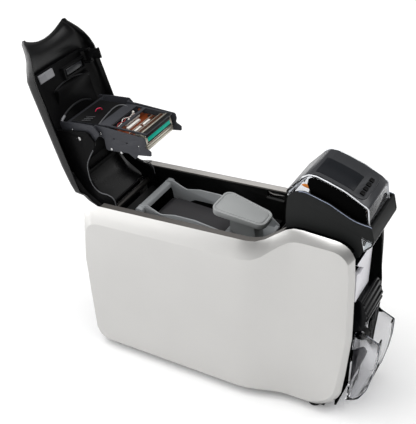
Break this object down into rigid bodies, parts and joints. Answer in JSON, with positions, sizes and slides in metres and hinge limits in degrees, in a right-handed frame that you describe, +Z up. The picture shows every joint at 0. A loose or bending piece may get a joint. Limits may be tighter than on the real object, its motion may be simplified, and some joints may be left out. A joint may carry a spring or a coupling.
{
  "type": "id card printer",
  "caption": "Desktop card printer with silver side panels, an open rear-hinged lid carrying the print head, a lift-out ribbon cartridge, a hooded card feeder and a clear output bin.",
  "frame": {"origin": "on the table under the middle of the machine with its lid open, between its two sides", "axes": "+X to the front where cards come out, +Y to the left side, +Z up"},
  "size_m": [0.5139, 0.158, 0.4457],
  "materials": {
    "silver_panel": "satin silver paint",
    "black_base": "moulded black",
    "rubber_feet": "matt rubber",
    "black_tub": "fine grained black",
    "rim_trim": "dark taupe grain",
    "black_cover": "fine grained black",
    "inlet_plastic": "smooth black",
    "socket_metal": "plated",
    "button_black": "smooth black",
    "board_green": "lacquered board",
    "black_front": "smooth black",
    "pale_fascia": "pale satin",
    "roller_rubber": "ground rubber",
    "sheet_steel": "plated sheet",
    "motor_steel": "dark can",
    "gear_brass": "cut brass",
    "belt_rubber": "matt belt",
    "gear_white": "natural acetal",
    "shaft_steel": "ground steel",
    "lid_black": "satin black outside, grained inside",
    "liner_black": "moulded black",
    "pale_plate": "pale satin",
    "latch_black": "moulded black",
    "carrier_charcoal": "charcoal coated sheet",
    "head_cream": "anodised",
    "heater_teal": "glazed ceramic",
    "board_amber": "amber flex",
    "connector_white": "white nylon",
    "cartridge_grey": "mid grey grain",
    "grip_grey": "lighter grey grain",
    "film_dark": "dark dye film",
    "feeder_black": "grained black",
    "clear_lip": "clear",
    "weight_black": "smooth black",
    "gate_amber": "amber",
    "hood_smoke": "smoked clear",
    "panel_black": "gloss black",
    "display_glass": "dark glass",
    "bin_clear": "clear",
    "guide_grey": "grey"
  },
  "bodies": {
    "root": {"side_panel_right": "silver_panel", "side_panel_left": "silver_panel", "base_tray": "black_base", "rubber_feet": "rubber_feet", "tub": "black_tub", "rim_trim": "rim_trim", "rear_cover": "black_cover", "power_inlet": "inlet_plastic", "data_ports": "socket_metal", "main_board": "board_green", "front_frame": "black_front", "front_fascia": "pale_fascia", "exit_housing": "black_front", "path_rails": "sheet_steel", "path_plates": "sheet_steel", "drive_motor": "motor_steel", "drive_belt": "belt_rubber", "ribbon_motor": "motor_steel", "hinge_rod": "shaft_steel", "feeder_housing": "feeder_black", "feeder_lip": "clear_lip", "pick_motor": "motor_steel", "card_gate": "gate_amber"},
    "power_button": {"power_button": "button_black"},
    "exit_idler": {"exit_idler": "roller_rubber"},
    "exit_roller": {"exit_roller": "roller_rubber"},
    "pressure_roller": {"pressure_roller": "roller_rubber"},
    "feed_roller": {"feed_roller": "roller_rubber"},
    "platen_roller": {"platen_roller": "roller_rubber"},
    "motor_pinion": {"motor_pinion": "gear_brass"},
    "ribbon_drive_gear": {"ribbon_drive_gear": "gear_white"},
    "lid": {"lid_shell": "lid_black", "lid_frame": "liner_black", "lid_window": "pale_plate", "float_pins": "shaft_steel", "head_springs": "shaft_steel"},
    "lid_latch": {"lid_latch": "latch_black"},
    "head_carrier": {"head_carrier": "carrier_charcoal", "print_head": "head_cream", "heater_strip": "heater_teal", "head_board": "board_amber", "head_connectors": "connector_white", "carrier_screws": "shaft_steel"},
    "film_guide": {"film_guide": "shaft_steel"},
    "cartridge": {"cartridge_frame": "cartridge_grey", "cartridge_grip": "grip_grey", "ribbon_film": "film_dark"},
    "supply_spool": {"supply_spool": "film_dark"},
    "take_up_spool": {"take_up_spool": "film_dark"},
    "pick_roller": {"pick_roller": "roller_rubber"},
    "card_weight": {"card_weight": "weight_black"},
    "hood": {"hood_cover": "hood_smoke", "hood_panel": "panel_black", "display_screen": "display_glass"},
    "button_back": {"button_back": "button_black"},
    "button_up": {"button_up": "button_black"},
    "button_down": {"button_down": "button_black"},
    "button_select": {"button_select": "button_black"},
    "output_bin": {"output_bin": "bin_clear", "bin_guide": "guide_grey"}
  },
  "joints": [
    {"name": "lid_hinge", "type": "hinge", "parent": "root", "child": "lid", "pos_m": [-0.131, 0, 0.22], "axis": [0, -1, 0], "range_deg": [-107, 0], "deforming": ["ribbon_film"]},
    {"name": "latch_pivot", "type": "hinge", "parent": "lid", "child": "lid_latch", "pos_m": [-0.22377, 0.055, 0.39346], "axis": [0.2924, 0, -0.9563], "range_deg": [0, 12], "stiffness_Nm_per_rad": 0.05, "springref_deg": -17.19},
    {"name": "head_float", "type": "slide", "parent": "lid", "child": "head_carrier", "axis": [-0.9563, 0, -0.2924], "range_m": [0, 0.0025], "stiffness_N_per_m": 2000, "springref_m": -0.004, "deforming": ["head_springs"]},
    {"name": "film_guide_spin", "type": "hinge", "parent": "head_carrier", "child": "film_guide", "pos_m": [-0.18291, 0.022, 0.30974], "axis": [0, 1, 0], "continuous": true},
    {"name": "cartridge_lift", "type": "slide", "parent": "root", "child": "cartridge", "axis": [0, 0, 1], "range_m": [0, 0.06]},
    {"name": "take_up_spin", "type": "hinge", "parent": "cartridge", "child": "take_up_spool", "pos_m": [0.029, 0, 0.2], "axis": [0, 1, 0], "continuous": true},
    {"name": "supply_spin", "type": "hinge", "parent": "cartridge", "child": "supply_spool", "pos_m": [-0.072, 0, 0.203], "axis": [0, 1, 0], "continuous": true},
    {"name": "ribbon_gear_spin", "type": "hinge", "parent": "root", "child": "ribbon_drive_gear", "pos_m": [0.03501, 0.04, 0.18093], "axis": [0, 1, 0], "continuous": true},
    {"name": "platen_spin", "type": "hinge", "parent": "root", "child": "platen_roller", "pos_m": [-0.037, 0, 0.1287], "axis": [0, 1, 0], "continuous": true},
    {"name": "motor_spin", "type": "hinge", "parent": "root", "child": "motor_pinion", "pos_m": [-0.02209, 0.048, 0.11093], "axis": [0, 1, 0], "continuous": true},
    {"name": "feed_spin", "type": "hinge", "parent": "root", "child": "feed_roller", "pos_m": [0.095, 0, 0.1287], "axis": [0, 1, 0], "continuous": true},
    {"name": "exit_spin", "type": "hinge", "parent": "root", "child": "exit_roller", "pos_m": [0.2025, 0, 0.1287], "axis": [0, 1, 0], "continuous": true},
    {"name": "pinch_spin", "type": "hinge", "parent": "root", "child": "pressure_roller", "pos_m": [0.095, 0, 0.1435], "axis": [0, 1, 0], "continuous": true},
    {"name": "idler_spin", "type": "hinge", "parent": "root", "child": "exit_idler", "pos_m": [0.229, -0.015, 0.12], "axis": [0, 1, 0], "continuous": true},
    {"name": "pick_spin", "type": "hinge", "parent": "root", "child": "pick_roller", "pos_m": [0.203, 0, 0.2596], "axis": [0, 1, 0], "continuous": true},
    {"name": "weight_lift", "type": "slide", "parent": "root", "child": "card_weight", "axis": [0, 0, 1], "range_m": [0, 0.02]},
    {"name": "hood_hinge", "type": "hinge", "parent": "root", "child": "hood", "pos_m": [0.132, 0, 0.306], "axis": [0, -1, 0], "range_deg": [0, 62]},
    {"name": "button_back_press", "type": "slide", "parent": "hood", "child": "button_back", "axis": [-0.4018, 0, -0.9157], "range_m": [0, 0.0012], "stiffness_N_per_m": 300, "springref_m": -0.0012},
    {"name": "button_up_press", "type": "slide", "parent": "hood", "child": "button_up", "axis": [-0.4018, 0, -0.9157], "range_m": [0, 0.0012], "stiffness_N_per_m": 300, "springref_m": -0.0012},
    {"name": "button_down_press", "type": "slide", "parent": "hood", "child": "button_down", "axis": [-0.4018, 0, -0.9157], "range_m": [0, 0.0012], "stiffness_N_per_m": 300, "springref_m": -0.0012},
    {"name": "button_select_press", "type": "slide", "parent": "hood", "child": "button_select", "axis": [-0.4018, 0, -0.9157], "range_m": [0, 0.0012], "stiffness_N_per_m": 300, "springref_m": -0.0012},
    {"name": "power_button_press", "type": "slide", "parent": "root", "child": "power_button", "axis": [1, 0, 0], "range_m": [0, 0.002], "stiffness_N_per_m": 400, "springref_m": -0.001},
    {"name": "bin_slide", "type": "slide", "parent": "root", "child": "output_bin", "axis": [1, 0, 0], "range_m": [0, 0.05]}
  ],
  "couplings": [
    {"joint": "supply_spin", "follows": "take_up_spin", "ratio": 0.92308},
    {"joint": "ribbon_gear_spin", "follows": "take_up_spin", "ratio": -1.5},
    {"joint": "motor_spin", "follows": "platen_spin", "ratio": -2.2222},
    {"joint": "feed_spin", "follows": "platen_spin", "ratio": 1},
    {"joint": "exit_spin", "follows": "platen_spin", "ratio": 1},
    {"joint": "pinch_spin", "follows": "platen_spin", "ratio": -1.3333}
  ]
}
